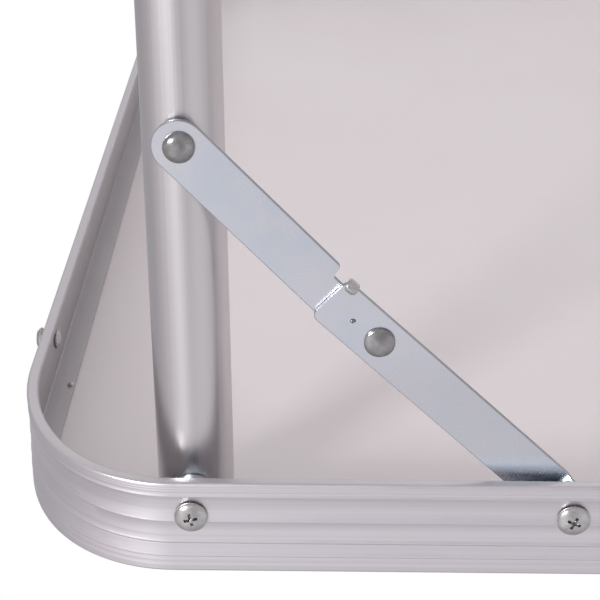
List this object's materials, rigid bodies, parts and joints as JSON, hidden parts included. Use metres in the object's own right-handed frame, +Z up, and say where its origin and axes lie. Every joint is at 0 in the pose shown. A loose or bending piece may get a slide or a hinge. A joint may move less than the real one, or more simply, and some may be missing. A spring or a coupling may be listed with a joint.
{
  "type": "folding table",
  "caption": "Suitcase folding table: aluminium-framed halves hinged at the middle, round folding legs held open by over-centre knee braces.",
  "frame": {"origin": "on the floor under the middle of the tabletop", "axes": "+Z up, +X along the table towards the half with the handle, +Y across it"},
  "size_m": [1.8152, 0.7056, 0.7],
  "materials": {
    "extruded_aluminium": "mill finish with fine extrusion lines",
    "satin_tube": "satin drawn tube",
    "laminated_board": "matt laminate on a thin fibreboard",
    "zinc_plate": "bright zinc plate on pressed steel",
    "bright_fastener": "bright plated steel",
    "grey_plastic": "moulded, fine grain"
  },
  "bodies": {
    "left_half": {"frame_bow_left": "extruded_aluminium", "centre_rail_left": "extruded_aluminium", "table_board_left": "laminated_board", "leg_pivot_screw_left_front": "bright_fastener", "leg_pivot_bush_left_front": "bright_fastener", "brace_pivot_screw_left_front": "bright_fastener", "hinge_leaf_left_front": "zinc_plate", "leg_pivot_screw_left_rear": "bright_fastener", "leg_pivot_bush_left_rear": "bright_fastener", "brace_pivot_screw_left_rear": "bright_fastener", "hinge_leaf_left_rear": "zinc_plate", "keeper_stud_front": "bright_fastener", "hinge_pin_front": "bright_fastener", "keeper_stud_rear": "bright_fastener", "hinge_pin_rear": "bright_fastener"},
    "right_half": {"frame_bow_right": "extruded_aluminium", "centre_rail_right": "extruded_aluminium", "table_board_right": "laminated_board", "leg_pivot_screw_right_front": "bright_fastener", "leg_pivot_bush_right_front": "bright_fastener", "brace_pivot_screw_right_front": "bright_fastener", "hinge_leaf_right_front": "zinc_plate", "leg_pivot_screw_right_rear": "bright_fastener", "leg_pivot_bush_right_rear": "bright_fastener", "brace_pivot_screw_right_rear": "bright_fastener", "hinge_leaf_right_rear": "zinc_plate", "hook_screw_front": "bright_fastener", "handle_bracket_front": "grey_plastic", "hook_screw_rear": "bright_fastener", "handle_bracket_rear": "grey_plastic"},
    "leg_set_left": {"crossbar_left": "satin_tube", "leg_tube_left_front": "satin_tube", "foot_plug_left_front": "grey_plastic", "leg_rivet_left_front": "bright_fastener", "leg_tube_left_rear": "satin_tube", "foot_plug_left_rear": "grey_plastic", "leg_rivet_left_rear": "bright_fastener"},
    "brace_lower_left_front": {"brace_lower_left_front": "zinc_plate", "knee_rivet_left_front": "bright_fastener"},
    "brace_upper_left_front": {"brace_upper_left_front": "zinc_plate"},
    "brace_lower_left_rear": {"brace_lower_left_rear": "zinc_plate", "knee_rivet_left_rear": "bright_fastener"},
    "brace_upper_left_rear": {"brace_upper_left_rear": "zinc_plate"},
    "leg_set_right": {"crossbar_right": "satin_tube", "leg_tube_right_front": "satin_tube", "foot_plug_right_front": "grey_plastic", "leg_rivet_right_front": "bright_fastener", "leg_tube_right_rear": "satin_tube", "foot_plug_right_rear": "grey_plastic", "leg_rivet_right_rear": "bright_fastener"},
    "brace_lower_right_front": {"brace_lower_right_front": "zinc_plate", "knee_rivet_right_front": "bright_fastener"},
    "brace_upper_right_front": {"brace_upper_right_front": "zinc_plate"},
    "brace_lower_right_rear": {"brace_lower_right_rear": "zinc_plate", "knee_rivet_right_rear": "bright_fastener"},
    "brace_upper_right_rear": {"brace_upper_right_rear": "zinc_plate"},
    "latch_hook_front": {"latch_hook_front": "zinc_plate"},
    "latch_hook_rear": {"latch_hook_rear": "zinc_plate"},
    "carrying_handle": {"carrying_handle": "grey_plastic"}
  },
  "joints": [
    {"name": "centre_fold", "type": "hinge", "parent": "left_half", "child": "right_half", "pos_m": [0, 0, 0.6648], "axis": [0, 1, 0], "range_deg": [0, 90]},
    {"name": "leg_fold_left", "type": "hinge", "parent": "left_half", "child": "leg_set_left", "pos_m": [-0.838, 0, 0.679], "axis": [0, -1, 0], "range_deg": [0, 90.5]},
    {"name": "brace_lower_left_front_pivot", "type": "hinge", "parent": "left_half", "child": "brace_lower_left_front", "pos_m": [-0.718, -0.3451, 0.679], "axis": [0, -1, 0], "range_deg": [0, 136.6]},
    {"name": "brace_upper_left_front_pivot", "type": "hinge", "parent": "leg_set_left", "child": "brace_upper_left_front", "pos_m": [-0.83905, -0.33985, 0.559], "axis": [0, -1, 0], "range_deg": [-136.6, 0]},
    {"name": "brace_lower_left_rear_pivot", "type": "hinge", "parent": "left_half", "child": "brace_lower_left_rear", "pos_m": [-0.718, 0.3451, 0.679], "axis": [0, -1, 0], "range_deg": [0, 136.6]},
    {"name": "brace_upper_left_rear_pivot", "type": "hinge", "parent": "leg_set_left", "child": "brace_upper_left_rear", "pos_m": [-0.83905, 0.33985, 0.559], "axis": [0, -1, 0], "range_deg": [-136.6, 0]},
    {"name": "leg_fold_right", "type": "hinge", "parent": "right_half", "child": "leg_set_right", "pos_m": [0.838, 0, 0.679], "axis": [0, 1, 0], "range_deg": [0, 90.5]},
    {"name": "brace_lower_right_front_pivot", "type": "hinge", "parent": "right_half", "child": "brace_lower_right_front", "pos_m": [0.718, -0.3451, 0.679], "axis": [0, 1, 0], "range_deg": [0, 136.6]},
    {"name": "brace_upper_right_front_pivot", "type": "hinge", "parent": "leg_set_right", "child": "brace_upper_right_front", "pos_m": [0.83905, -0.33985, 0.559], "axis": [0, 1, 0], "range_deg": [-136.6, 0]},
    {"name": "brace_lower_right_rear_pivot", "type": "hinge", "parent": "right_half", "child": "brace_lower_right_rear", "pos_m": [0.718, 0.3451, 0.679], "axis": [0, 1, 0], "range_deg": [0, 136.6]},
    {"name": "brace_upper_right_rear_pivot", "type": "hinge", "parent": "leg_set_right", "child": "brace_upper_right_rear", "pos_m": [0.83905, 0.33985, 0.559], "axis": [0, 1, 0], "range_deg": [-136.6, 0]},
    {"name": "hook_swing_front", "type": "hinge", "parent": "right_half", "child": "latch_hook_front", "pos_m": [0.901, -0.23, 0.679], "axis": [1, 0, 0], "range_deg": [-90, 90]},
    {"name": "hook_swing_rear", "type": "hinge", "parent": "right_half", "child": "latch_hook_rear", "pos_m": [0.901, 0.23, 0.679], "axis": [1, 0, 0], "range_deg": [-90, 90]},
    {"name": "handle_swing", "type": "hinge", "parent": "right_half", "child": "carrying_handle", "pos_m": [0.9055, 0, 0.679], "axis": [0, -1, 0], "range_deg": [0, 100]}
  ],
  "couplings": [
    {"joint": "brace_lower_left_front_pivot", "follows": "leg_fold_left", "ratio": 1.5093},
    {"joint": "brace_upper_left_front_pivot", "follows": "leg_fold_left", "ratio": -1.5093},
    {"joint": "brace_lower_left_rear_pivot", "follows": "leg_fold_left", "ratio": 1.5093},
    {"joint": "brace_upper_left_rear_pivot", "follows": "leg_fold_left", "ratio": -1.5093},
    {"joint": "brace_lower_right_front_pivot", "follows": "leg_fold_right", "ratio": 1.5093},
    {"joint": "brace_upper_right_front_pivot", "follows": "leg_fold_right", "ratio": -1.5093},
    {"joint": "brace_lower_right_rear_pivot", "follows": "leg_fold_right", "ratio": 1.5093},
    {"joint": "brace_upper_right_rear_pivot", "follows": "leg_fold_right", "ratio": -1.5093}
  ]
}
